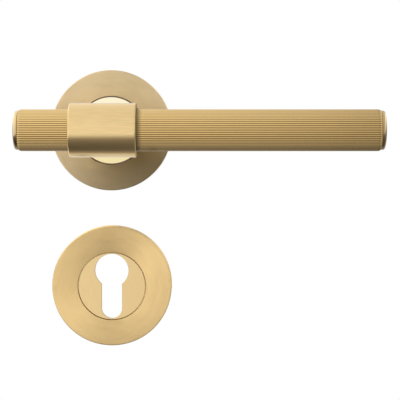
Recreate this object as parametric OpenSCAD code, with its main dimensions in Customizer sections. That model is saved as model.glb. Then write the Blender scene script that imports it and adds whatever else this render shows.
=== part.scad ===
// Door lever handle on a round rose, with a matching round escutcheon for a profile cylinder.
// Origin: spindle axis, in the plane of the door's face. +Z is up, the front faces -Y.
// The long arm of the lever lies along +X, and the escutcheon sits straight below the rose.
// Pieces that turn about the spindle or the keyhole are drawn with their local z pointing
// out of the door, and outward() then stands them up. Depths are measured out from the door.

/* [Lever tube] */
// Outer diameter over the crests of the flutes
tube_d = 20; // [18:0.5:22]
// Wall thickness from crest to bore
tube_wall = 2; // [1.5:0.1:3]
// Reach of the tube to the right of the spindle
long_arm = 131.8; // [100:0.2:160]
// Reach of the tube to the left of the spindle
short_arm = 41.4; // [30:0.2:60]
// Number of flutes round the tube
flutes = 60; // [40:2:80]
// Depth of each flute
flute_depth = 0.3; // [0.1:0.05:0.4]
// Distance from the door to the axis of the tube
tube_depth = 54; // [50:0.5:70]

/* [Collar and neck] */
// Outer diameter of the collar round the tube
collar_d = 26; // [25:0.5:28]
// Length of the collar along the tube
collar_l = 32; // [26:0.5:40]
// Distance from the spindle's axis to the middle of the collar, towards the short arm
collar_shift = 1; // [0:0.25:2]
// Diameter of the neck between collar and rose
neck_d = 20; // [18:0.5:22]
// Diameter of the polished flange at the foot of the neck
flange_d = 34.4; // [33:0.1:34.6]
// Travel of the lever, in degrees
lever_travel = 45; // [30:1:50]

/* [Rose and escutcheon] */
// Diameter of both covers
cover_d = 61.5; // [60:0.5:66]
// Depth of both covers
cover_h = 10; // [9.6:0.1:12]
// Diameter of the round opening in both covers
window_d = 34.9; // [34.8:0.1:36]
// Distance from the spindle down to the centre of the escutcheon
escutcheon_drop = 80; // [75:1:100]

/* [Profile cylinder opening] */
// Diameter of the round part of the opening
profile_d = 17.2; // [17.1:0.1:17.4]
// Width of the slot below the round part
profile_slot = 10.4; // [10.2:0.1:10.6]
// Height of the whole opening
profile_h = 33.3; // [33:0.1:33.5]

/* [Spindle and fixings] */
// Width across the flats of the square spindle
spindle_w = 8; // [7:1:8]
// Length of the spindle
spindle_l = 88; // [70:1:120]
// Distance between the two fixing screws of each base
screw_spacing = 38; // [38:0.5:40]
// Thread diameter of the fixing screws
screw_d = 4; // [4:0.5:5]
// Length of screw that stands out behind the door's face
screw_reach = 45; // [25:1:60]

/* [Hidden] */
$fn = 96;

// Gap left between pieces that slide, turn or drop into each other
fit_gap = 0.05;
// Length by which a cutting shape runs past the face it opens
past = 1;

// Tube, end caps and the nut inside the tube
tube_r = tube_d / 2;
bore_r = tube_r - tube_wall;
tube_chamfer = 0.8;
cap_r = tube_r - 0.6;
cap_proud = 1.9;
cap_bevel = 0.7;
cap_plug_l = 9;
nut_l = 26;

// Collar
collar_r = collar_d / 2;
collar_chamfer = 0.45;

// Neck, journal and flange
neck_r = neck_d / 2;
neck_fillet = 2;
journal_r = 8;
journal_end = 1;
journal_flat = 6.6;
flange_r = flange_d / 2;
flange_back = cover_h - 1.1;
flange_front = cover_h + 0.3;
square_end = 28;
head_room_end = 35;

// Screw from the neck into the nut
neck_screw_r = 2;
neck_screw_head_r = 3.5;
neck_screw_head_h = 4;
neck_screw_l = 20;
neck_screw_hex = 3;

// Spindle and the set screw that holds it
spindle_tip = square_end - 2;
set_screw_r = 2.5;
set_screw_depth = 18;
set_screw_hex = 2.5;
square_half = spindle_w / 2 + fit_gap;

// Covers
cover_r = cover_d / 2;
cover_wall = 1.3;
cover_face = 1.4;
cover_chamfer = 0.5;
window_r = window_d / 2;

// Bases
base_r = cover_r - cover_wall - 0.55;
base_h = cover_h - 2;
pocket_r = 15.2;
pocket_floor = 5.3;
recess_r = 16.3;
recess_h = 1.3;
anchor_angle = 225;
anchor_w = 1.7;
anchor_r = 19;

// Snap rings between base and cover
ring_depth = 4.8;
ring_h = 1;
ring_in = base_r - 0.7;
ring_out = cover_r - cover_wall + 0.15;
ring_gap_angle = 30;

// Bush, washer, retaining ring, cam, stop pin
bush_r = 9.2;
bush_flange_r = 12;
bush_flange_h = 0.4;
washer_r = 13;
washer_h = 0.4;
retainer_back = 2.2;
retainer_h = 1;
retainer_groove_r = 7.2;
retainer_r = 10.2;
cam_back = 3.3;
cam_h = 1.8;
cam_r = 13;
stop_r = 1;
stop_orbit = 10.7;
stop_angle = 90;
stop_reach = asin(stop_r / stop_orbit) + 0.6;
notch_angle = 20;
notch_w = 1.5;
notch_floor_r = 11;

// Return spring, wound from the cam's notch down to the anchor slot of the base
wire_r = 0.5;
coil_r = 13.95;
coil_sweep = 2 * 360 + notch_angle - (anchor_angle - 360);
coil_steps = 58;
coil_top = 4.55;
coil_bottom = 1.85;
wire_bend = 1;
wire_sides = 8;
anchor_deep = coil_bottom + 0.9;

// Fixing screws
screw_r = screw_d / 2;
screw_hole_r = screw_r + 0.15;
screw_waist_r = 1.6;
screw_head_r = 3.5;
screw_head_h = 2.4;
screw_seat = 5.4;
screw_hex = 2.5;
screw_recess_r = 3.75;

// Insert of the escutcheon
insert_r = flange_r;
insert_rim_r = insert_r + 1.4;
insert_back = base_h + fit_gap;
insert_rim_h = 0.5;
profile_clear = 1.2;

brass = [0.86, 0.74, 0.52];
polished_brass = [0.95, 0.86, 0.66];
cast_grey = [0.66, 0.67, 0.68];
steel = [0.75, 0.76, 0.78];
dark_steel = [0.3, 0.3, 0.32];
nylon = [0.9, 0.89, 0.84];

// Stands a piece up, so that its local z points out of the door.
module outward() {
    rotate([90, 0, 0])
        children();
}

// Puts a piece, drawn about the keyhole's centre, at the escutcheon.
module at_escutcheon() {
    translate([0, 0, -escutcheon_drop])
        outward()
            children();
}

// A flat ring from one depth to another.
module ring(outer, inner, from, to) {
    translate([0, 0, from])
        difference() {
            cylinder(r = outer, h = to - from);
            translate([0, 0, -past])
                cylinder(r = inner, h = to - from + 2 * past);
        }
}

// Places its children at both fixing screws of a base.
module at_screws() {
    for (side = [-1, 1])
        translate([side * screw_spacing / 2, 0, 0])
            children();
}

// A hexagonal driving socket that opens towards +z at the origin.
module hex_socket(across_flats, deep) {
    translate([0, 0, -deep])
        cylinder(d = across_flats / cos(30), h = deep + past, $fn = 6);
}

// The outline of the profile cylinder opening, grown by a margin, about the escutcheon's centre.
module profile_outline(margin = 0) {
    round_y = profile_h / 2 - profile_d / 2;
    slot_y = profile_slot / 2 - profile_h / 2;
    translate([0, round_y])
        circle(r = profile_d / 2 + margin);
    translate([0, slot_y])
        circle(r = profile_slot / 2 + margin);
    translate([-profile_slot / 2 - margin, slot_y])
        square([profile_slot + 2 * margin, round_y - slot_y]);
}

// Radius of the fluted surface, at a step of a quarter of a flute.
function flute_r(step) = tube_r - flute_depth * (1 - cos(90 * step)) / 2;

// The tube, fluted from end to end, with both ends chamfered.
module lever_tube() {
    steps = 4 * flutes;
    outline = [
        for (i = [0 : steps - 1])
            flute_r(i) * [cos(360 * i / steps), sin(360 * i / steps)]
    ];
    tube_l = short_arm + long_arm;
    rim_r = tube_r - tube_chamfer;
    color(brass)
        translate([-short_arm, -tube_depth, 0])
            difference() {
                rotate([0, 90, 0])
                    intersection() {
                        linear_extrude(tube_l)
                            polygon(outline);
                        rotate_extrude()
                            polygon([
                                [bore_r, 0], [rim_r, 0], [tube_r + past, tube_chamfer + past],
                                [tube_r + past, tube_l - tube_chamfer - past],
                                [rim_r, tube_l], [bore_r, tube_l]
                            ]);
                    }
                translate([short_arm, 0, 0])
                    outward()
                        mirror([0, 0, 1])
                            cylinder(r = neck_screw_r + 0.4, h = tube_d);
            }
}

// The threaded slug inside the tube that the neck's screw pulls against.
module tube_nut() {
    color(steel)
        difference() {
            translate([-nut_l / 2, -tube_depth, 0])
                rotate([0, 90, 0])
                    cylinder(r = bore_r - fit_gap, h = nut_l);
            outward()
                cylinder(r = neck_screw_r + fit_gap, h = tube_depth + 3);
        }
}

// An end cap: a bevelled button with a plug that fits the tube's bore, its face towards +z.
module end_cap() {
    face_r = cap_r - cap_bevel;
    rotate_extrude()
        polygon([
            [0, -cap_plug_l], [bore_r - 0.6, -cap_plug_l], [bore_r - fit_gap, 0.6 - cap_plug_l],
            [bore_r - fit_gap, 0], [cap_r - 0.3, 0], [cap_r, 0.3],
            for (a = [0 : 15 : 90])
                [face_r + cap_bevel * cos(a), cap_proud - cap_bevel + cap_bevel * sin(a)],
            [0, cap_proud]
        ]);
}

module end_cap_left() {
    color(polished_brass)
        translate([-short_arm, -tube_depth, 0])
            rotate([0, -90, 0])
                end_cap();
}

module end_cap_right() {
    color(polished_brass)
        translate([long_arm, -tube_depth, 0])
            rotate([0, 90, 0])
                end_cap();
}

// The plain collar that the tube passes through.
module collar() {
    edge_r = collar_r - collar_chamfer;
    inner_r = tube_r + fit_gap;
    color(brass)
        translate([0, -tube_depth, 0])
            difference() {
                rotate([0, 90, 0])
                    translate([0, 0, -collar_shift - collar_l / 2])
                        rotate_extrude()
                            polygon([
                                [inner_r, 0], [edge_r, 0], [collar_r, collar_chamfer],
                                [collar_r, collar_l - collar_chamfer], [edge_r, collar_l],
                                [inner_r, collar_l]
                            ]);
                outward()
                    mirror([0, 0, 1])
                        cylinder(r = neck_screw_r + 0.2, h = tube_d);
            }
}

// The neck: journal, polished flange and stem, saddled to the collar.
module neck() {
    color(polished_brass)
        difference() {
            outward()
                difference() {
                    neck_blank();
                    neck_openings();
                }
            translate([-collar_l, -tube_depth, 0])
                rotate([0, 90, 0])
                    cylinder(r = collar_r, h = 2 * collar_l);
        }
}

// The turned outline of the neck, before it is bored.
module neck_blank() {
    rotate_extrude()
        polygon([
            [0, journal_end], [journal_r, journal_end], [journal_r, flange_back],
            [flange_r, flange_back], [flange_r, flange_front - 0.3],
            [flange_r - 0.3, flange_front], [neck_r + neck_fillet, flange_front],
            for (a = [15 : 15 : 90])
                [
                    neck_r + neck_fillet - neck_fillet * sin(a),
                    flange_front + neck_fillet - neck_fillet * cos(a)
                ],
            [neck_r, tube_depth], [0, tube_depth]
        ]);
}

// Everything that is cut out of the neck.
module neck_openings() {
    translate([-square_half, -square_half, 0])
        cube([2 * square_half, 2 * square_half, square_end]);
    translate([0, 0, square_end - past])
        cylinder(r = square_half, h = head_room_end - square_end + past);
    cylinder(r = neck_screw_r + 0.2, h = tube_depth);
    translate([0, 0, set_screw_depth])
        rotate([90, 0, 0])
            cylinder(r = set_screw_r + fit_gap, h = 2 * neck_r);
    ring(journal_r + past, retainer_groove_r, retainer_back, retainer_back + retainer_h);
    for (side = [0, 180])
        rotate([0, 0, side])
            translate([-journal_r, journal_flat, 0])
                cube([2 * journal_r, journal_r, cam_back + cam_h]);
}

// The cap screw that pulls tube, collar and neck together.
module neck_screw() {
    color(dark_steel)
        outward() {
            translate([0, 0, head_room_end])
                cylinder(r = neck_screw_r, h = neck_screw_l);
            difference() {
                translate([0, 0, head_room_end - neck_screw_head_h])
                    cylinder(r = neck_screw_head_r, h = neck_screw_head_h);
                translate([0, 0, head_room_end - neck_screw_head_h])
                    mirror([0, 0, 1])
                        hex_socket(neck_screw_hex, 2);
            }
        }
}

module spindle() {
    half = spindle_w / 2;
    color(steel)
        outward()
            translate([-half, -half, spindle_tip - spindle_l])
                cube([spindle_w, spindle_w, spindle_l]);
}

// The set screw under the neck that grips the spindle.
module spindle_set_screw() {
    set_screw_l = neck_r - 0.3 - spindle_w / 2;
    color(dark_steel)
        outward()
            translate([0, -spindle_w / 2, set_screw_depth])
                rotate([90, 0, 0])
                    difference() {
                        cylinder(r = set_screw_r, h = set_screw_l);
                        translate([0, 0, set_screw_l])
                            hex_socket(set_screw_hex, 2.5);
                    }
}

// A slot along an arc about the origin, as an outline. It spans less than half a turn.
module arc_slot(orbit, half_width, from, to) {
    difference() {
        circle(r = orbit + half_width);
        circle(r = orbit - half_width);
        rotate([0, 0, from])
            translate([-2 * orbit, -2 * orbit])
                square([4 * orbit, 2 * orbit]);
        rotate([0, 0, to])
            translate([-2 * orbit, 0])
                square([4 * orbit, 2 * orbit]);
    }
}

// The cam on the journal's flats: the spring pulls on its notch, the stop pin runs in its slot.
module spring_cam() {
    color(steel)
        outward()
            translate([0, 0, cam_back])
                linear_extrude(cam_h)
                    difference() {
                        circle(r = cam_r);
                        intersection() {
                            circle(r = journal_r + fit_gap);
                            square(2 * [journal_r + past, journal_flat + fit_gap], center = true);
                        }
                        arc_slot(
                            stop_orbit, stop_r + 0.1,
                            stop_angle - stop_reach, stop_angle + lever_travel + stop_reach
                        );
                        rotate([0, 0, notch_angle])
                            translate([notch_floor_r, -notch_w / 2])
                                square([cam_r, notch_w]);
                    }
}

// The open ring that keeps the neck from pulling out of the rose.
module retaining_ring() {
    color(dark_steel)
        outward()
            difference() {
                ring(retainer_r, retainer_groove_r + fit_gap, retainer_back, retainer_back + retainer_h);
                translate([-retainer_groove_r / 2, -2 * retainer_r, 0])
                    cube([retainer_groove_r, 2 * retainer_r, cover_h]);
            }
}

module thrust_washer() {
    color(steel)
        outward()
            ring(washer_r, journal_r + 0.3, base_h + bush_flange_h + fit_gap,
                base_h + bush_flange_h + washer_h);
}

module bearing_bush() {
    inner_r = journal_r + fit_gap;
    color(nylon)
        outward()
            rotate_extrude()
                polygon([
                    [inner_r, pocket_floor], [bush_r, pocket_floor], [bush_r, base_h],
                    [bush_flange_r, base_h], [bush_flange_r, base_h + bush_flange_h],
                    [inner_r, base_h + bush_flange_h]
                ]);
}

// Unit vectors at an angle: away from the axis, and clockwise round it as seen from the front.
function away(angle) = [cos(angle), sin(angle), 0];
function clockwise(angle) = [sin(angle), -cos(angle), 0];

// Centre line of the spring's wire: a leg in the cam's notch, the coil, and a leg in the anchor.
function spring_path() =
    let (
        top = notch_angle,
        bottom = notch_angle - coil_sweep,
        bend_angle = atan(wire_bend / coil_r),
        wound = coil_sweep - 2 * bend_angle,
        rise = coil_top - coil_bottom
    )
    concat(
        [[0, 0, coil_top] + (notch_floor_r + 0.4) * away(top)],
        [
            for (a = [0 : 30 : 60])
                [0, 0, coil_top] + (coil_r - wire_bend + wire_bend * sin(a)) * away(top)
                    + wire_bend * (1 - cos(a)) * clockwise(top)
        ],
        [
            for (i = [0 : coil_steps])
                [0, 0, coil_top - rise * i / coil_steps]
                    + coil_r * away(top - bend_angle - wound * i / coil_steps)
        ],
        [
            for (a = [30 : 30 : 90])
                [0, 0, coil_bottom] + (coil_r + wire_bend * (1 - cos(a))) * away(bottom)
                    - wire_bend * (1 - sin(a)) * clockwise(bottom)
        ],
        [[0, 0, coil_bottom] + (anchor_r - 0.4) * away(bottom)]
    );

// A round wire swept along a path that never runs along z.
module wire(path) {
    last = len(path) - 1;
    points = [
        for (i = [0 : last])
            let (
                run = path[min(i + 1, last)] - path[max(i - 1, 0)],
                flat = [run[0], run[1], 0] / norm([run[0], run[1]]),
                side = [flat[1], -flat[0], 0]
            )
            for (k = [0 : wire_sides - 1])
                path[i] + wire_r * (cos(360 * k / wire_sides) * side
                    + [0, 0, sin(360 * k / wire_sides)])
    ];
    skin = [
        for (i = [0 : last - 1])
            for (k = [0 : wire_sides - 1])
                let (
                    next = (k + 1) % wire_sides,
                    here = i * wire_sides,
                    there = here + wire_sides
                )
                [here + k, here + next, there + next, there + k]
    ];
    ends = [
        [for (k = [wire_sides - 1 : -1 : 0]) k],
        [for (k = [0 : wire_sides - 1]) last * wire_sides + k]
    ];
    polyhedron(points, concat(skin, ends));
}

// The torsion spring that brings the lever back up.
module return_spring() {
    color(steel)
        outward()
            wire(spring_path());
}

module stop_pin() {
    pin_back = cam_back + 0.2;
    color(steel)
        outward()
            rotate([0, 0, stop_angle])
                translate([stop_orbit, 0, pin_back])
                    cylinder(r = stop_r, h = base_h - 0.4 - pin_back);
}

// The steel plate that closes the spring's pocket.
module spring_cover() {
    color(steel)
        outward()
            ring(recess_r - 0.1, journal_r + 0.3, recess_h - 1, recess_h);
}

// A turned disc that carries a cover: two screw holes and the groove of the snap ring.
module base_blank() {
    difference() {
        cylinder(r = base_r, h = base_h);
        ring(base_r + past, ring_in - 0.2, ring_depth - 0.6, ring_depth + 0.6);
        at_screws() {
            translate([0, 0, -past])
                cylinder(r = screw_hole_r, h = base_h + 2 * past);
            translate([0, 0, screw_seat])
                cylinder(r = screw_recess_r, h = base_h);
        }
    }
}

// The rose's base: bearing for the neck in front, pocket for the spring and the cam behind.
module rose_base() {
    color(cast_grey)
        outward()
            difference() {
                base_blank();
                translate([0, 0, -past])
                    cylinder(r = recess_r, h = recess_h + past);
                translate([0, 0, -past])
                    cylinder(r = pocket_r, h = pocket_floor + past);
                translate([0, 0, -past])
                    cylinder(r = bush_r, h = base_h + 2 * past);
                rotate([0, 0, anchor_angle])
                    translate([0, -anchor_w / 2, -past])
                        cube([anchor_r, anchor_w, anchor_deep + past]);
                rotate([0, 0, stop_angle])
                    translate([stop_orbit, 0, 0])
                        cylinder(r = stop_r, h = base_h - 0.4);
            }
}

// A turned cover: a cup with a round window in its face.
module cover_shell() {
    inner_r = cover_r - cover_wall;
    difference() {
        rotate_extrude()
            polygon([
                [inner_r, 0], [cover_r, 0], [cover_r, cover_h - cover_chamfer],
                [cover_r - cover_chamfer, cover_h], [window_r + 0.15, cover_h],
                [window_r, cover_h - 0.15], [window_r, cover_h - cover_face],
                [inner_r, cover_h - cover_face]
            ]);
        ring(ring_out + 0.15, 1, ring_depth - 0.6, ring_depth + 0.6);
    }
}

module rose_cover() {
    color(brass)
        outward()
            cover_shell();
}

// The open wire ring that clips a cover on to its base.
module snap_ring() {
    difference() {
        ring(ring_out, ring_in, ring_depth - ring_h / 2, ring_depth + ring_h / 2);
        rotate([0, 0, -90 - ring_gap_angle / 2])
            intersection() {
                cube(2 * cover_r);
                rotate([0, 0, ring_gap_angle - 90])
                    cube(2 * cover_r);
            }
    }
}

module rose_snap_ring() {
    color(steel)
        outward()
            snap_ring();
}

// Two captive screws: head in the base, waist in its hole, thread out through the door.
module fixing_screws() {
    at_screws()
        difference() {
            rotate_extrude()
                polygon([
                    [0, -screw_reach], [screw_r - 0.6, -screw_reach],
                    [screw_r, 0.6 - screw_reach], [screw_r, 0], [screw_waist_r, 0],
                    [screw_waist_r, screw_seat], [screw_head_r, screw_seat],
                    [screw_head_r, screw_seat + screw_head_h - 0.3],
                    [screw_head_r - 0.3, screw_seat + screw_head_h],
                    [0, screw_seat + screw_head_h]
                ]);
            translate([0, 0, screw_seat + screw_head_h])
                hex_socket(screw_hex, 1.6);
        }
}

module rose_screws() {
    color(steel)
        outward()
            fixing_screws();
}

module escutcheon_cover() {
    color(brass)
        at_escutcheon()
            cover_shell();
}

// The disc that fills the cover's window, with the opening for the profile cylinder.
module escutcheon_insert() {
    color(brass)
        at_escutcheon()
            difference() {
                rotate_extrude()
                    polygon([
                        [0, insert_back], [insert_rim_r, insert_back],
                        [insert_rim_r, insert_back + insert_rim_h],
                        [insert_r, insert_back + insert_rim_h],
                        [insert_r, cover_h - 0.15], [insert_r - 0.15, cover_h], [0, cover_h]
                    ]);
                linear_extrude(cover_h + past)
                    profile_outline();
            }
}

module escutcheon_base() {
    color(cast_grey)
        at_escutcheon()
            difference() {
                base_blank();
                translate([0, 0, -past])
                    linear_extrude(base_h + 2 * past)
                        profile_outline(profile_clear);
            }
}

module escutcheon_snap_ring() {
    color(steel)
        at_escutcheon()
            snap_ring();
}

module escutcheon_screws() {
    color(steel)
        at_escutcheon()
            fixing_screws();
}

lever_tube();
tube_nut();
end_cap_left();
end_cap_right();
collar();
neck();
neck_screw();
spindle();
spindle_set_screw();
spring_cam();
retaining_ring();
thrust_washer();
bearing_bush();
return_spring();
stop_pin();
spring_cover();
rose_base();
rose_cover();
rose_snap_ring();
rose_screws();
escutcheon_cover();
escutcheon_insert();
escutcheon_base();
escutcheon_snap_ring();
escutcheon_screws();
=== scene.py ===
import math

import bmesh
import bpy
from mathutils import Matrix, Vector


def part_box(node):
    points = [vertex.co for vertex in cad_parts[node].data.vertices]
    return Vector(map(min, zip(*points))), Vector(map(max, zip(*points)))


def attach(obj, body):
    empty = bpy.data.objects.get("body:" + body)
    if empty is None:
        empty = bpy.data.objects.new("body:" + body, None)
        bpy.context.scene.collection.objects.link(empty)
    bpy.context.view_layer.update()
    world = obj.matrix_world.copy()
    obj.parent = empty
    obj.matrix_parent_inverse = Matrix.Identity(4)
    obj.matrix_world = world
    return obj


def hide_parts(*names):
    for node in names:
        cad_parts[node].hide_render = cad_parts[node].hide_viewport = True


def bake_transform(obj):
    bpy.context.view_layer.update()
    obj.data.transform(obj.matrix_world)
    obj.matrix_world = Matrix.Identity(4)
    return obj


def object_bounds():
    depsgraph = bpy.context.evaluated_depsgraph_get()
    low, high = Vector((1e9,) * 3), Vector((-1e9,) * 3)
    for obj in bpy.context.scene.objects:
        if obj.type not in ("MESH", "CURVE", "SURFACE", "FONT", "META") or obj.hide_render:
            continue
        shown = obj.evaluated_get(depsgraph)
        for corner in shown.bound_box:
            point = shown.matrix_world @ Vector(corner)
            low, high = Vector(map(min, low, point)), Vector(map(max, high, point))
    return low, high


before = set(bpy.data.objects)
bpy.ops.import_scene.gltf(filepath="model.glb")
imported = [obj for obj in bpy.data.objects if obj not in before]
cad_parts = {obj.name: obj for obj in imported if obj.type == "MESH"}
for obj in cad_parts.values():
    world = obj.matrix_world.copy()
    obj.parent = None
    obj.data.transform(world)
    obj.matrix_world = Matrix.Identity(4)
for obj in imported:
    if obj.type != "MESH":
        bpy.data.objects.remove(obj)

CAD_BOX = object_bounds()
MM = 0.001

# Turns a mesh drawn with its axis on local z: out of the door, to the right, or to the left.
OUT = Matrix.Rotation(math.radians(90), 4, "X")
RIGHT = Matrix.Rotation(math.radians(90), 4, "Y")
LEFT = Matrix.Rotation(math.radians(-90), 4, "Y")


# ---------------------------------------------------------------- sizes

def middle(node):
    low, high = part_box(node)
    return (low + high) / 2


def size(node):
    low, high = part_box(node)
    return high - low


# From the frame.
DOOR_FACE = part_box("rose_cover")[1].y
COVER_R = size("rose_cover").x / 2
COVER_H = size("rose_cover").y
FLANGE_R = size("neck").x / 2
TUBE_R = size("lever_tube").z / 2
TUBE_L = size("lever_tube").x
TUBE_Y = middle("lever_tube").y
CAP_R = size("end_cap_left").z / 2
COLLAR_R = size("collar").z / 2
COLLAR_L = size("collar").x
ORIGIN = Vector((0, 0, 0))
ROSE_AT = Vector((0, DOOR_FACE, 0))
ESCUTCHEON_AT = Vector((0, DOOR_FACE, middle("escutcheon_cover").z))

# From the design, as the nodes' boxes don't tell them.
WINDOW_R = FLANGE_R + 0.25 * MM
FLANGE_CHAMFER = 0.3 * MM
FLUTES = 60
FLUTE_DEPTH = 0.3 * MM
SCREW_SPACING = 38 * MM
BARREL_R = 8.6 * MM
SLOT_R = 5.2 * MM
KEYHOLE_H = 33.3 * MM


# ---------------------------------------------------------------- mesh helpers

def arc(cx, cy, r, start, end, steps=6):
    """Points on an arc about (cx, cy), from one angle in degrees to another."""
    turns = [math.radians(start + (end - start) * k / steps) for k in range(steps + 1)]
    return [(cx + r * math.cos(a), cy + r * math.sin(a)) for a in turns]


def ring(bm, radii, h, x=0.0):
    """A vertex for each radius, evenly spaced round an upright line at x."""
    turns = [2 * math.pi * k / len(radii) for k in range(len(radii))]
    return [bm.verts.new((x + r * math.cos(a), r * math.sin(a), h)) for r, a in zip(radii, turns)]


def bridge(bm, rings, closed):
    """Faces between neighbouring rings of vertices. A ring of one vertex is a pole."""
    pairs = list(zip(rings, rings[1:]))
    if closed:
        pairs.append((rings[-1], rings[0]))
    for a, b in pairs:
        count = max(len(a), len(b))
        for k in range(count):
            n = (k + 1) % count
            corners = [a[k % len(a)], a[n % len(a)], b[n % len(b)], b[k % len(b)]]
            corners = list(dict.fromkeys(corners))
            if len(corners) > 2:
                bm.faces.new(corners)


def lathe(profile, segments=192, closed=True):
    """Turns (radius, height) points round z. A closed profile is the section of a ring."""
    bm = bmesh.new()
    rings = [ring(bm, [r] * (segments if r else 1), h) for r, h in profile]
    bridge(bm, rings, closed)
    return bm


def fill(bm, *loops):
    """A flat face between loops, such as an outer edge and the hole in it."""
    edges = []
    for loop in loops:
        for a, b in zip(loop, loop[1:] + loop[:1]):
            edges.append(bm.edges.get((a, b)) or bm.edges.new((a, b)))
    bmesh.ops.triangle_fill(bm, use_beauty=True, use_dissolve=False, edges=edges)


def piece(name, bm, turn, at, material, sharp_deg, groove=None):
    """Makes an object of a bmesh: turned, placed, and smooth but for edges over an angle.
    Faces between a groove's two radii and above its bottom take a dark material: painted shade
    down in the gap."""
    bmesh.ops.recalc_face_normals(bm, faces=bm.faces)
    if groove:
        inner, outer, bottom = groove
        for face in bm.faces:
            centre = face.calc_center_median()
            face.material_index = int(inner < centre.xy.length < outer and centre.z > bottom)
    bmesh.ops.transform(bm, matrix=turn, verts=bm.verts)
    mesh = bpy.data.meshes.new(name)
    bm.to_mesh(mesh)
    bm.free()
    mesh.shade_smooth()
    mesh.set_sharp_from_angle(angle=math.radians(sharp_deg))
    mesh.materials.append(material)
    if groove:
        mesh.materials.append(GROOVE_SHADE)
    obj = bpy.data.objects.new(name, mesh)
    obj.location = at
    bpy.context.scene.collection.objects.link(obj)
    return obj


def stand_for(node, body, bm, turn, at, material, sharp_deg, groove=None):
    """A finer piece in place of a CAD node, riding on the same body."""
    made = piece(node + "_fine", bm, turn, at, material, sharp_deg, groove)
    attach(made, body)
    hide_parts(node)
    return made


# ---------------------------------------------------------------- node helpers

# Nearly all of a noise texture lies between these levels.
NOISE_LOW, NOISE_HIGH = 0.3, 0.7


class Tree:
    """A node tree, with short names for what the materials and the studio need. A value is a
    number, a colour or another node's output."""

    def __init__(self, tree):
        self.tree = tree

    def node(self, kind, **settings):
        made = self.tree.nodes.new(kind)
        for key, setting in settings.items():
            setattr(made, key, setting)
        return made

    def feed(self, socket, value):
        """Links an output to a socket, or sets the socket to a number or colour."""
        if isinstance(value, bpy.types.NodeSocket):
            self.tree.links.new(value, socket)
        else:
            socket.default_value = value

    def maths(self, operation, *values):
        made = self.node("ShaderNodeMath", operation=operation)
        for socket, value in zip(made.inputs, values):
            self.feed(socket, value)
        return made.outputs[0]

    def combine(self, *values):
        made = self.node("ShaderNodeCombineXYZ")
        for socket, value in zip(made.inputs, values):
            self.feed(socket, value)
        return made.outputs[0]

    def split(self, vector):
        made = self.node("ShaderNodeSeparateXYZ")
        self.feed(made.inputs[0], vector)
        return made.outputs

    def stretch(self, vector, *shares):
        """A vector with its parts multiplied by three numbers."""
        made = self.node("ShaderNodeVectorMath", operation="MULTIPLY")
        self.feed(made.inputs[0], vector)
        self.feed(made.inputs[1], shares)
        return made.outputs[0]

    def scale(self, vector, share):
        made = self.node("ShaderNodeVectorMath", operation="SCALE")
        self.feed(made.inputs[0], vector)
        self.feed(made.inputs["Scale"], share)
        return made.outputs[0]

    def fade(self, value, start, end, low=0.0, high=1.0, ease="LINEAR"):
        """Runs from low to high as a value runs from start to end, and stays there beyond."""
        made = self.node("ShaderNodeMapRange", interpolation_type=ease)
        self.feed(made.inputs["Value"], value)
        for socket, number in (("From Min", start), ("From Max", end),
                               ("To Min", low), ("To Max", high)):
            self.feed(made.inputs[socket], number)
        return made.outputs["Result"]

    def mix(self, share, first, second):
        """A colour between two others, which are the node's inputs 6 and 7."""
        made = self.node("ShaderNodeMix", data_type="RGBA")
        self.feed(made.inputs["Factor"], share)
        self.feed(made.inputs[6], first)
        self.feed(made.inputs[7], second)
        return made.outputs[2]


class Shader(Tree):
    """A material with one Principled shader."""

    def __init__(self, name, colour, roughness, metallic=1.0, anisotropic=0.0, turn=0.0):
        self.material = bpy.data.materials.new(name)
        self.material.use_nodes = True
        super().__init__(self.material.node_tree)
        self.sockets = self.tree.nodes["Principled BSDF"].inputs
        self.give("Base Color", (*colour, 1))
        self.give("Metallic", metallic)
        self.give("Roughness", roughness)
        self.give("Anisotropic", anisotropic)
        self.give("Anisotropic Rotation", turn)

    def give(self, socket, value):
        """Sets or links a socket of the Principled shader."""
        self.feed(self.sockets[socket], value)

    def position(self):
        """A point of the surface on the piece's own axes, in millimetres."""
        return self.scale(self.node("ShaderNodeTexCoord").outputs["Object"], 1 / MM)

    def from_y_axis(self, x, z):
        """The distance from the piece's own y axis."""
        return self.maths("SQRT", self.maths("ADD", self.maths("MULTIPLY", x, x),
                                             self.maths("MULTIPLY", z, z)))

    def noise(self, vector, scale=1.0, detail=3.0, roughness=0.6):
        made = self.node("ShaderNodeTexNoise")
        self.feed(made.inputs["Scale"], scale)
        self.feed(made.inputs["Detail"], detail)
        self.feed(made.inputs["Roughness"], roughness)
        self.feed(made.inputs["Vector"], vector)
        return made.outputs["Fac"]

    def spread(self, noise, low, high):
        """Noise stretched to run from low to high."""
        return self.fade(noise, NOISE_LOW, NOISE_HIGH, low, high)

    def shade(self, colour, share):
        """The base colour, scaled by a share."""
        self.give("Base Color", self.scale(colour, share))

    def tint(self, colour, noise, contrast):
        """The base colour, made darker and lighter by noise."""
        self.shade(colour, self.spread(noise, 1 - contrast, 1 + contrast))

    def rough(self, roughness, noise, low, high):
        """The roughness, scaled between low and high by noise."""
        self.give("Roughness", self.spread(noise, roughness * low, roughness * high))

    def bump(self, noise, height_mm, strength=1.0):
        made = self.node("ShaderNodeBump")
        self.feed(made.inputs["Strength"], strength)
        self.feed(made.inputs["Distance"], height_mm * MM)
        self.feed(made.inputs["Height"], noise)
        self.give("Normal", made.outputs["Normal"])

    def tangent(self, axis):
        """Brushed round an axis of the piece."""
        made = self.node("ShaderNodeTangent", direction_type="RADIAL", axis=axis)
        self.give("Tangent", made.outputs[0])


# ---------------------------------------------------------------- materials

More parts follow.
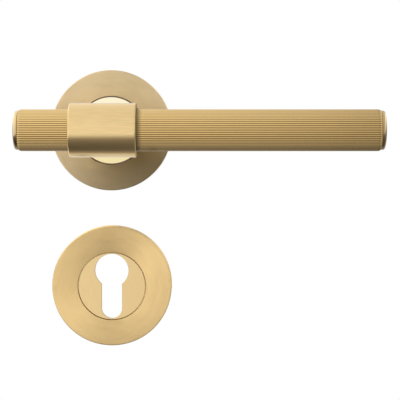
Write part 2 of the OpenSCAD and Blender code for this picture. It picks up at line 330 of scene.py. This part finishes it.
def concentric_brass(name, colour, roughness, anisotropic, turn=0.25):
    """Face turned and brushed in circles round the piece's own y axis."""
    look = Shader(name, colour, roughness, anisotropic=anisotropic, turn=turn)
    look.tangent("Y")
    x, _, z = look.split(look.position())
    polar = look.combine(look.from_y_axis(x, z), look.maths("ARCTAN2", z, x), 1.0)
    hairs = look.noise(look.stretch(polar, 5.0, 4.0, 0.0))
    cloud = look.noise(look.stretch(polar, 0.5, 2.0, 7.0))
    look.tint(colour, hairs, 0.06)
    look.rough(roughness, cloud, 0.9, 1.1)
    look.bump(hairs, height_mm=0.004)
    return look.material


def straight_brass(name, colour, along, roughness=0.3, anisotropic=0.7, contrast=0.05, turn=0.0,
                   shaded_end_from=None, shaded_end_loss=0.5):
    """Brushed in straight lines along the piece's own x or z axis. The end beyond a given number
    of mm along x can be painted dark and matte, as painted shade."""
    look = Shader(name, colour, roughness, anisotropic=anisotropic, turn=turn)
    look.tangent(along)
    at = look.position()
    hair_fineness = {"X": (0.12, 4.0, 4.0), "Z": (4.0, 1.0, 0.15)}[along]
    cloud_fineness = {"X": (0.08, 0.3, 0.3), "Z": (0.4, 1.0, 0.1)}[along]
    hairs = look.noise(look.stretch(at, *hair_fineness))
    share = look.spread(hairs, 1 - contrast, 1 + contrast)
    # Painted shade: the end beyond the given x is darker, matte and not metallic.
    if shaded_end_from is not None:
        shaded_end = look.maths("GREATER_THAN", look.split(at)["X"], shaded_end_from)
        share = look.maths("SUBTRACT", share, look.maths("MULTIPLY", shaded_end, shaded_end_loss))
        look.give("Specular IOR Level", 0)
        look.give("Metallic", look.maths("SUBTRACT", 1.0, shaded_end))
    look.shade(colour, share)
    look.rough(roughness, look.noise(look.stretch(at, *cloud_fineness)), 0.9, 1.1)
    look.bump(hairs, height_mm=0.003)
    return look.material


def fluted_brass(name, colour, roughness):
    """Fine rounded flutes along x: bright on the crests and darker down in the valleys, from
    oxide there and painted shade; a painted shadow in the corner at the collar's right end, and
    painted shade at both ends and along the underside."""
    look = Shader(name, colour, roughness)
    at = look.position()
    x, y, z = look.split(at)

    def patina_and_painted_shade(distance, undarkened_at, deepest, start=0.0):
        """Darkening, from its deepest at a start to none at a given distance."""
        return look.fade(distance, start, undarkened_at, low=deepest, ease="SMOOTHSTEP")

    turn = look.maths("ARCTAN2", y, look.maths("MULTIPLY", z, -1.0))
    crest = look.maths("ABSOLUTE", look.maths("SINE", look.maths("MULTIPLY", turn, FLUTES / 2)))
    collar_end = (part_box("collar")[1].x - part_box("lever_tube")[0].x) / MM
    from_collar = look.maths("ABSOLUTE", look.maths("SUBTRACT", x, collar_end))
    from_end = look.maths("MINIMUM", x, look.maths("SUBTRACT", TUBE_L / MM, x))
    streaks = look.noise(look.stretch(at, 0.1, 2.0, 2.0))
    share = look.spread(streaks, 0.97, 1.03)
    # Painted darkening: oxide and painted shade in the valleys, a painted shadow beside the
    # collar's right end, and painted shade at both ends and along the underside.
    for darkening in (patina_and_painted_shade(crest, undarkened_at=1.0, deepest=0.55),
                 patina_and_painted_shade(from_collar, undarkened_at=3.2, deepest=0.28),
                 patina_and_painted_shade(from_end, undarkened_at=2.0, deepest=0.7),
                 patina_and_painted_shade(z, start=-10.5, undarkened_at=-4.5, deepest=0.55)):
        share = look.maths("MULTIPLY", share, darkening)
    look.shade(colour, share)
    look.rough(roughness, streaks, 0.85, 1.15)
    return look.material


def painted_gap_shade(name, colour, roughness=0.7):
    """Matte, dark brown: painted shade down in a narrow gap."""
    look = Shader(name, colour, roughness, metallic=0.0)
    look.give("Specular IOR Level", 0)
    look.tint(colour, look.noise(look.position()), 0.15)
    return look.material


def wiping_marks(look, at):
    """Broad, faint marks that a cloth leaves."""
    return look.noise(at, scale=0.6, detail=4)


def polished_brass(name, colour, roughness, foot_shade_share=0.35, shaded_z=(4, -8)):
    """Polished, with faint wiping marks, and painted shade: darker from one height down to
    another.
    """
    look = Shader(name, colour, roughness)
    at = look.position()
    marks = wiping_marks(look, at)
    # Painted shade on the lower part.
    foot = look.fade(look.split(at)["Z"], *shaded_z, low=1.0, high=foot_shade_share)
    look.shade(colour, look.maths("MULTIPLY", foot, look.spread(marks, 0.98, 1.02)))
    look.rough(roughness, marks, 0.7, 1.4)
    return look.material


def flange_brass(name, colour, foot_shade_colour, gap_shade_colour, roughness=0.08, foot_shade_z=(12, -12)):
    """Polished, with painted shade: yellower and darker at the foot, and matte and dark on the
    flange's rim, down in the gap.
    """
    look = Shader(name, colour, roughness)
    at = look.position()
    x, _, z = look.split(at)
    rim_r, rim_roughness = FLANGE_R - FLANGE_CHAMFER * 0.9, 0.5
    rim = look.maths("GREATER_THAN", look.from_y_axis(x, z), rim_r / MM)
    # Painted shade: the face runs to a darker, yellower colour towards the foot.
    face = look.mix(look.fade(z, *foot_shade_z), (*colour, 1), (*foot_shade_colour, 1))
    marks = look.spread(wiping_marks(look, at), roughness * 0.7, roughness * 1.4)
    # Painted shade on the flange's rim, down in the gap.
    look.give("Base Color", look.mix(rim, face, (*gap_shade_colour, 1)))
    look.give("Roughness", look.maths("ADD", marks, look.maths("MULTIPLY", rim, rim_roughness)))
    look.give("Metallic", look.maths("SUBTRACT", 1.0, rim))
    look.give("Specular IOR Level", 0)
    return look.material


def plain_metal(name, colour, roughness, fineness=3.2, bump_mm=0.01, metallic=1.0):
    """Cast, rolled or coated metal with a fine grain."""
    look = Shader(name, colour, roughness, metallic=metallic)
    grain = look.noise(look.position(), scale=fineness, detail=4)
    look.tint(colour, grain, 0.08)
    look.rough(roughness, grain, 0.8, 1.25)
    look.bump(grain, bump_mm, strength=0.5)
    return look.material


def moulded(name, colour, roughness=0.45):
    """Moulded nylon."""
    look = Shader(name, colour, roughness, metallic=0.0)
    grain = look.noise(look.position(), scale=3, detail=2)
    look.tint(colour, grain, 0.04)
    look.bump(grain, height_mm=0.01, strength=0.4)
    return look.material


BRUSHED_COLOUR = (0.80, 0.59, 0.29)
# Painted shade down in the narrow gaps round the windows.
GAP_SHADE_COLOUR = (0.20, 0.08, 0.012)

# The rose's cover is the same brass as the escutcheon's; its paler colour is painted light,
# standing in for the different light on it.
ROSE_BRASS = concentric_brass("rose_brass", (0.86, 0.69, 0.43), 0.5, anisotropic=0.88)
ESCUTCHEON_BRASS = concentric_brass("escutcheon_brass", (0.86, 0.62, 0.29), 0.4,
                                    anisotropic=0.92, turn=0.2)
INSERT_BRASS = straight_brass("insert_brass", BRUSHED_COLOUR, "Z")
COLLAR_BRASS = straight_brass("collar_brass", BRUSHED_COLOUR, "X", 0.2, anisotropic=0.3,
                              contrast=0.08, turn=0.25, shaded_end_from=COLLAR_L / MM - 0.2)
TUBE_BRASS = fluted_brass("tube_brass", (0.84, 0.59, 0.255), 0.12)
GROOVE_SHADE = painted_gap_shade("groove_shade", GAP_SHADE_COLOUR)
NECK_BRASS = flange_brass("neck_brass", (0.95, 0.86, 0.62), (0.86, 0.73, 0.40), GAP_SHADE_COLOUR)
CAP_BRASS = polished_brass("cap_brass", (0.80, 0.61, 0.35), 0.06)
STEEL = plain_metal("zinc_steel", (0.42, 0.43, 0.45), 0.30)
BLACK_STEEL = plain_metal("black_steel", (0.05, 0.05, 0.055), 0.4, metallic=0.6)
CAST = plain_metal("cast_alloy", (0.33, 0.34, 0.35), 0.5, fineness=2.0, bump_mm=0.03)
NYLON = moulded("nylon", (0.78, 0.76, 0.68))


# ---------------------------------------------------------------- pieces

def cover(name, at, material):
    """A turned cup: side wall, softly broken front edge, flat face and round window. A ring just
    inside the front edge keeps its rounding out of the shading of the flat face."""
    wall, face, edge, lip = 1.3 * MM, 1.4 * MM, 0.5 * MM, 0.18 * MM
    inner = COVER_R - wall
    profile = [(inner, 0), (COVER_R, 0)]
    profile += arc(COVER_R - edge, COVER_H - edge, edge, 0, 90)
    profile += [(COVER_R - 2 * edge, COVER_H)]
    profile += arc(WINDOW_R + lip, COVER_H - lip, lip, 90, 180, steps=3)
    profile += [(WINDOW_R, COVER_H - face), (inner, COVER_H - face)]
    groove = (WINDOW_R - lip, WINDOW_R + lip, 0)
    return stand_for(name, "door_side", lathe(profile), OUT, at, material,
                     sharp_deg=50, groove=groove)


def keyhole(margin, per_arc=48):
    """Outline of the profile opening about its middle, anticlockwise from the right."""
    barrel_r, slot_r = BARREL_R + margin, SLOT_R + margin
    barrel_y = KEYHOLE_H / 2 - BARREL_R
    slot_y = SLOT_R - KEYHOLE_H / 2
    meet = math.degrees(math.asin(slot_r / barrel_r))
    top = arc(0, barrel_y, barrel_r, meet - 90, 270 - meet, 2 * per_arc)
    bottom = arc(0, slot_y, slot_r, 180, 360, per_arc)
    return top + bottom


def insert():
    """The disc in the escutcheon's window, with its rim behind the cover."""
    back, rim_h, rim, chamfer = 8.05 * MM, 0.5 * MM, 1.4 * MM, 0.12 * MM
    count = len(keyhole(0))
    bm = bmesh.new()

    def hole(margin, h):
        return [bm.verts.new((x, y, h)) for x, y in keyhole(margin)]

    outside = [ring(bm, [r] * count, h) for r, h in (
        (FLANGE_R + rim, back), (FLANGE_R + rim, back + rim_h), (FLANGE_R, back + rim_h),
        (FLANGE_R, COVER_H - chamfer), (FLANGE_R - chamfer, COVER_H))]
    inside = [hole(0, back), hole(0, COVER_H - chamfer), hole(chamfer, COVER_H)]
    bridge(bm, outside, closed=False)
    bridge(bm, inside, closed=False)
    fill(bm, outside[-1], inside[-1])
    fill(bm, outside[0], inside[0])
    groove = (FLANGE_R - chamfer, FLANGE_R + chamfer, back + rim_h)
    return stand_for("escutcheon_insert", "door_side", bm, OUT, ESCUTCHEON_AT, INSERT_BRASS,
                     sharp_deg=25, groove=groove)


def collar():
    """A plain sleeve with softly broken edges."""
    edge, clearance = 0.45 * MM, 0.05 * MM
    inner = TUBE_R + clearance
    profile = [(inner, 0)]
    profile += arc(COLLAR_R - edge, edge, edge, -90, 0)
    profile += [(COLLAR_R, 2 * edge), (COLLAR_R, COLLAR_L - 2 * edge)]
    profile += arc(COLLAR_R - edge, COLLAR_L - edge, edge, 0, 90)
    profile += [(inner, COLLAR_L)]
    at = Vector((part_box("collar")[0].x, TUBE_Y, 0))
    stand_for("collar", "lever", lathe(profile), RIGHT, at, COLLAR_BRASS, sharp_deg=50)


def tube():
    """The fluted tube: rounded crests with narrow valleys, and rounded ends. A ring just behind
    each rounding keeps it out of the shading of the long flutes."""
    per_flute, narrowness = 10, 1.5
    end_l, end_drop, support = 1.8 * MM, 0.75 * MM, 0.1 * MM
    bore = TUBE_R - 2 * MM
    count = FLUTES * per_flute
    valleys = [FLUTE_DEPTH * (1 - abs(math.sin(math.pi * k / per_flute))) ** narrowness
               for k in range(count)]
    bm = bmesh.new()

    def fluted(crest_r, h):
        return ring(bm, [crest_r - valley for valley in valleys], h)

    turns = [math.radians(15 * k) for k in range(7)]
    rise = [(end_l * (1 - math.cos(a)), TUBE_R - end_drop * (1 - math.sin(a))) for a in turns]
    rise.append((end_l + support, TUBE_R))
    near = [fluted(r, h) for h, r in rise]
    far = [fluted(r, TUBE_L - h) for h, r in reversed(rise)]
    rings = [ring(bm, [bore] * count, 0)] + near + far + [ring(bm, [bore] * count, TUBE_L)]
    bridge(bm, rings, closed=True)
    at = Vector((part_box("lever_tube")[0].x, TUBE_Y, 0))
    stand_for("lever_tube", "lever", bm, RIGHT, at, TUBE_BRASS, sharp_deg=60)


def end_cap(name, turn, tube_end_x):
    """A polished button with a well rounded edge, and its plug inside the tube. A ring halfway
    over the face keeps its shading even."""
    proud, bevel, seat_break = 1.9 * MM, 1.1 * MM, 0.1 * MM
    plug_r, plug_l, plug_chamfer = TUBE_R - 2.05 * MM, 9 * MM, 0.5 * MM
    face_r = CAP_R - bevel
    profile = [(0, -plug_l), (plug_r - plug_chamfer, -plug_l), (plug_r, plug_chamfer - plug_l)]
    profile += [(plug_r, 0), (CAP_R - seat_break, 0), (CAP_R, seat_break)]
    profile += arc(face_r, proud - bevel, bevel, 0, 90, steps=12)
    profile += [(face_r / 2, proud), (0, proud)]
    at = Vector((tube_end_x, TUBE_Y, 0))
    turned = lathe(profile, segments=128, closed=False)
    stand_for(name, "lever", turned, turn, at, CAP_BRASS, sharp_deg=40)


def fixing_screws(name, at):
    """Two through-door screws: threaded shank, plain waist, and a head with a hexagon socket."""
    reach, thread_r, core_r, pitch = 45 * MM, 2 * MM, 1.62 * MM, 0.7 * MM
    tip_r, waist_r, waist_from = 1.4 * MM, 1.6 * MM, 0.2 * MM
    seat, head_r, head_top, head_break = 5.4 * MM, 3.5 * MM, 7.8 * MM, 0.3 * MM
    socket_flat, socket_bottom = 1.25 * MM, 6.2 * MM
    segments, rings_per_turn = 24, 4
    bm = bmesh.new()

    def thread_radius(h, k):
        """The flank's height on a helix, tapered over the first turn at the tip."""
        phase = (h / pitch + k / segments) % 1
        r = core_r + (thread_r - core_r) * abs(2 * phase - 1)
        return min(r, tip_r + (h + reach))

    def hexagon_radius(k):
        wedge = math.pi / 6
        return socket_flat / math.cos(2 * math.pi * k / segments % (2 * wedge) - wedge)

    hexagon = [hexagon_radius(k) for k in range(segments)]
    steps = round(reach / pitch * rings_per_turn)
    heights = [-reach + k * pitch / rings_per_turn for k in range(steps + 1)]
    levels = [([thread_radius(h, k) for k in range(segments)], h) for h in heights]
    levels += [([r] * segments, h) for r, h in (
        (waist_r, waist_from), (waist_r, seat), (head_r, seat), (head_r, head_top - head_break),
        (head_r - head_break, head_top))]
    levels += [(hexagon, head_top), (hexagon, socket_bottom)]
    levels = [([0], -reach)] + levels + [([0], socket_bottom)]
    for side in (-1, 1):
        x = side * SCREW_SPACING / 2
        bridge(bm, [ring(bm, radii, h, x) for radii, h in levels], closed=False)
    stand_for(name, "door_side", bm, OUT, at, STEEL, sharp_deg=35)


def spindle():
    """The square bar, with broken edges and bevelled ends."""
    half, broken, bevel = size("spindle").x / 2, 0.35 * MM, 0.9 * MM
    low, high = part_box("spindle")
    bm = bmesh.new()

    def outline(inset, depth):
        a, b = half - inset, half - inset - broken
        corners = [(a, -b), (a, b), (b, a), (-b, a), (-a, b), (-a, -b), (-b, -a), (b, -a)]
        return [bm.verts.new((x, z, depth)) for x, z in corners]

    rings = [outline(bevel, -high.y), outline(0, bevel - high.y),
             outline(0, -low.y - bevel), outline(bevel, -low.y)]
    bridge(bm, rings, closed=False)
    bm.faces.new(rings[0])
    bm.faces.new(rings[-1])
    stand_for("spindle", "lever", bm, OUT, ORIGIN, STEEL, sharp_deg=20)


def return_spring():
    """The torsion spring's round wire: a leg in the cam's notch, the coil, and a leg in the base."""
    wire_r, coil_r, bend_r = 0.5 * MM, 13.95 * MM, 1.0 * MM
    leg_in, leg_out = 11.4 * MM, 18.6 * MM
    front, back = 4.55 * MM, 1.85 * MM
    tip, tip_share = 0.1 * MM, 0.8
    notch, anchor = math.radians(20), math.radians(225 - 3 * 360)
    steps, sides = 180, 14

    def away(angle, reach, beside=0.0, depth=front):
        """A point at a radius, moved clockwise by a distance."""
        return Vector((reach * math.cos(angle) + beside * math.sin(angle),
                       reach * math.sin(angle) - beside * math.cos(angle), depth))

    bends = [math.radians(15 * k) for k in range(6)]
    lap = math.atan(bend_r / coil_r)
    start, wound = notch - lap, anchor - notch + 2 * lap
    path = [away(notch, leg_in), away(notch, leg_in + tip)]
    path += [away(notch, coil_r - bend_r + bend_r * math.sin(a), bend_r * (1 - math.cos(a)))
             for a in bends]
    path += [away(start + wound * k / steps, coil_r, depth=front + (back - front) * k / steps)
             for k in range(steps + 1)]
    path += [away(anchor, coil_r + bend_r * (1 - math.sin(a)), -bend_r * (1 - math.cos(a)), back)
             for a in reversed(bends)]
    path += [away(anchor, leg_out - tip, depth=back), away(anchor, leg_out, depth=back)]

    bm = bmesh.new()
    last = len(path) - 1
    up = Vector((0, 0, 1))
    turns = [2 * math.pi * k / sides for k in range(sides)]
    rings = []
    for k, at in enumerate(path):
        run = path[min(k + 1, last)] - path[max(k - 1, 0)]
        side = Vector((run.y, -run.x, 0)).normalized()
        r = wire_r * (tip_share if k in (0, last) else 1)
        rings.append([bm.verts.new(at + r * (math.cos(a) * side + math.sin(a) * up))
                      for a in turns])
    bridge(bm, rings, closed=False)
    bm.faces.new(rings[0])
    bm.faces.new(rings[-1])
    made = piece("return_spring_fine", bm, OUT, ORIGIN, STEEL, sharp_deg=40)
    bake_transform(made)
    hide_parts("return_spring")


def dress(nodes, material):
    """Gives CAD nodes a material."""
    for name in nodes:
        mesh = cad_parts[name].data
        mesh.materials.clear()
        mesh.materials.append(material)


rose = cover("rose_cover", ROSE_AT, ROSE_BRASS)
escutcheon = cover("escutcheon_cover", ESCUTCHEON_AT, ESCUTCHEON_BRASS)
disc = insert()
collar()
tube()
end_cap("end_cap_left", LEFT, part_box("lever_tube")[0].x)
end_cap("end_cap_right", RIGHT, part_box("lever_tube")[1].x)
fixing_screws("rose_screws", ROSE_AT)
fixing_screws("escutcheon_screws", ESCUTCHEON_AT)
spindle()
return_spring()
dress(["neck"], NECK_BRASS)
dress(["tube_nut", "spring_cam", "thrust_washer", "stop_pin", "spring_cover",
       "rose_snap_ring", "escutcheon_snap_ring"], STEEL)
dress(["neck_screw", "spindle_set_screw", "retaining_ring"], BLACK_STEEL)
dress(["rose_base", "escutcheon_base"], CAST)
dress(["bearing_bush"], NYLON)


# ---------------------------------------------------------------- studio

# Brightness of the studio by height, in degrees: 0 is level in front, 90 overhead, -90 below.
SKY = [
    (-180, 0.65), (-160, 0.85), (-125, 0.80), (-112, 0.35), (-95, 0.12), (-80, 0.09), (-60, 0.12),
    (-42, 0.20), (-32, 0.34), (-24, 0.66), (-17, 1.0), (-12, 1.08), (10, 1.04), (50, 0.98),
    (90, 0.97), (145, 1.05), (160, 0.9), (180, 0.65),
]
# Share of that brightness from the left, -1, to the right, 1.
ACROSS = [
    (-1, 0.6), (-0.85, 1.2), (-0.6, 1.6), (-0.25, 1.1), (0, 1.04), (0.08, 0.96), (0.13, 0.80),
    (0.2, 0.66), (0.35, 0.9), (0.6, 1.6), (0.85, 1.2), (1, 0.6),
]
# Towards the right, this share of the light is an even grey.
RIGHT_EVEN, RIGHT_FROM, RIGHT_FULL = 0.35, -0.2, 0.2
EVEN_GREY = (0.5, 0.5, 0.5, 1)
# Darker levels than this are light off the unlit floor, in its colour.
FLOOR_LEVEL, FLOOR_COLOUR = 0.5, (1.0, 0.93, 0.88)
# The dark zone of the floor leans to one side, by this many degrees.
FLOOR_LEAN = 18


def studio_world():
    """Soft light from all round, with the unlit floor in front of and below the camera, and plain
    white where the camera looks past the object."""
    world = bpy.data.worlds.new("studio")
    bpy.context.scene.world = world
    world.use_nodes = True
    world.node_tree.nodes.clear()
    sky = Tree(world.node_tree)

    def ramp(share, levels):
        """Levels by a share from 0 to 1. A stop is made where it stays, as stops get sorted."""
        made = sky.node("ShaderNodeValToRGB")
        made.color_ramp.interpolation = "EASE"
        stops = made.color_ramp.elements
        stops.remove(stops[-1])
        for k, (at, level) in enumerate(levels):
            stop = stops[0] if k == 0 else stops.new(at)
            stop.position = at
            tone = FLOOR_COLOUR if level < FLOOR_LEVEL else (1, 1, 1)
            stop.color = (*(level * part for part in tone), 1)
        sky.feed(made.inputs[0], share)
        return made.outputs["Color"]

    def background(colour, strength):
        made = sky.node("ShaderNodeBackground")
        sky.feed(made.inputs["Color"], colour)
        sky.feed(made.inputs["Strength"], strength)
        return made.outputs[0]

    towards = sky.node("ShaderNodeTexCoord").outputs["Generated"]
    right = sky.split(towards)["X"]
    lean = sky.node("ShaderNodeVectorRotate", rotation_type="Y_AXIS")
    sky.feed(lean.inputs["Angle"], math.radians(FLOOR_LEAN))
    sky.feed(lean.inputs["Vector"], towards)
    _, y, z = sky.split(lean.outputs[0])
    height = sky.maths("ARCTAN2", z, sky.maths("MULTIPLY", y, -1))
    height_share = sky.maths("ADD", sky.maths("MULTIPLY", height, 0.5 / math.pi), 0.5)
    up_and_down = ramp(height_share, [(degrees / 360 + 0.5, level) for degrees, level in SKY])
    right_share = sky.maths("ADD", sky.maths("MULTIPLY", right, 0.5), 0.5)
    across = ramp(right_share, [(at / 2 + 0.5, level) for at, level in ACROSS])
    even = sky.fade(right, RIGHT_FROM, RIGHT_FULL, high=RIGHT_EVEN, ease="SMOOTHSTEP")
    light = background(sky.mix(even, up_and_down, EVEN_GREY), across)
    choose = sky.node("ShaderNodeMixShader")
    sky.feed(choose.inputs[0], sky.node("ShaderNodeLightPath").outputs["Is Camera Ray"])
    sky.feed(choose.inputs[1], light)
    sky.feed(choose.inputs[2], background((1, 1, 1, 1), 1.0))
    sky.feed(sky.node("ShaderNodeOutputWorld").inputs["Surface"], choose.outputs[0])


def lever_shadow(receiver):
    """Dims the rose below the lever: light is taken away by a lamp of less than no power, which
    the lever itself keeps off the rose's upper half."""
    at, aim = Vector((0.042, -0.130, -0.060)), Vector((0.010, -0.010, -0.010))
    lamp = bpy.data.lights.new("dimmer", "AREA")
    lamp.shape = "RECTANGLE"
    lamp.size = 0.16
    lamp.size_y = 0.09
    lamp.energy = -0.038
    obj = bpy.data.objects.new("dimmer", lamp)
    obj.location = at
    obj.rotation_euler = (aim - at).to_track_quat("-Z", "Y").to_euler()
    obj.visible_camera = False
    bpy.context.scene.collection.objects.link(obj)
    dimmed = bpy.data.collections.new("dimmed_below_lever")
    dimmed.objects.link(receiver)
    obj.light_linking.receiver_collection = dimmed


def studio_floor():
    """A pale floor below the frame, ending before it would come into view behind the object."""
    half_width, front_edge, back_edge, drop = 1.6, -1.6, 0.2, 0.1
    corners = [(-half_width, front_edge), (half_width, front_edge),
               (half_width, back_edge), (-half_width, back_edge)]
    bm = bmesh.new()
    bm.faces.new([bm.verts.new((x, y, 0)) for x, y in corners])
    mesh = bpy.data.meshes.new("studio_floor")
    bm.to_mesh(mesh)
    bm.free()
    mesh.materials.append(Shader("studio_floor", (0.8, 0.8, 0.79), 0.6, metallic=0.0).material)
    obj = bpy.data.objects.new("studio_floor", mesh)
    obj.location.z = CAD_BOX[0].z - drop
    obj.visible_glossy = False
    bpy.context.scene.collection.objects.link(obj)


def camera():
    """Level with the lever, aimed a little down, so that both covers are in the frame."""
    across, back, height, tilt_deg = 0.04535, 0.680, -0.0011, 2.908
    data = bpy.data.cameras.new("camera")
    data.lens = 119.5
    data.clip_start = 0.01
    data.clip_end = 20
    obj = bpy.data.objects.new("camera", data)
    obj.location = (across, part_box("rose_cover")[0].y - back, height)
    obj.rotation_euler = (math.radians(90 - tilt_deg), 0, 0)
    bpy.context.scene.collection.objects.link(obj)
    bpy.context.scene.camera = obj


def keep_out_of_reflections(objects):
    """Keeps the door's side out of the lever's reflections."""
    for obj in objects:
        obj.visible_glossy = False


studio_world()
lever_shadow(rose)
keep_out_of_reflections([rose, escutcheon, disc])
keep_out_of_reflections(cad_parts[name] for name in (
    "rose_base", "rose_snap_ring", "escutcheon_base", "escutcheon_snap_ring", "spring_cover"))
studio_floor()
camera()
bpy.context.scene.view_settings.view_transform = "Standard"
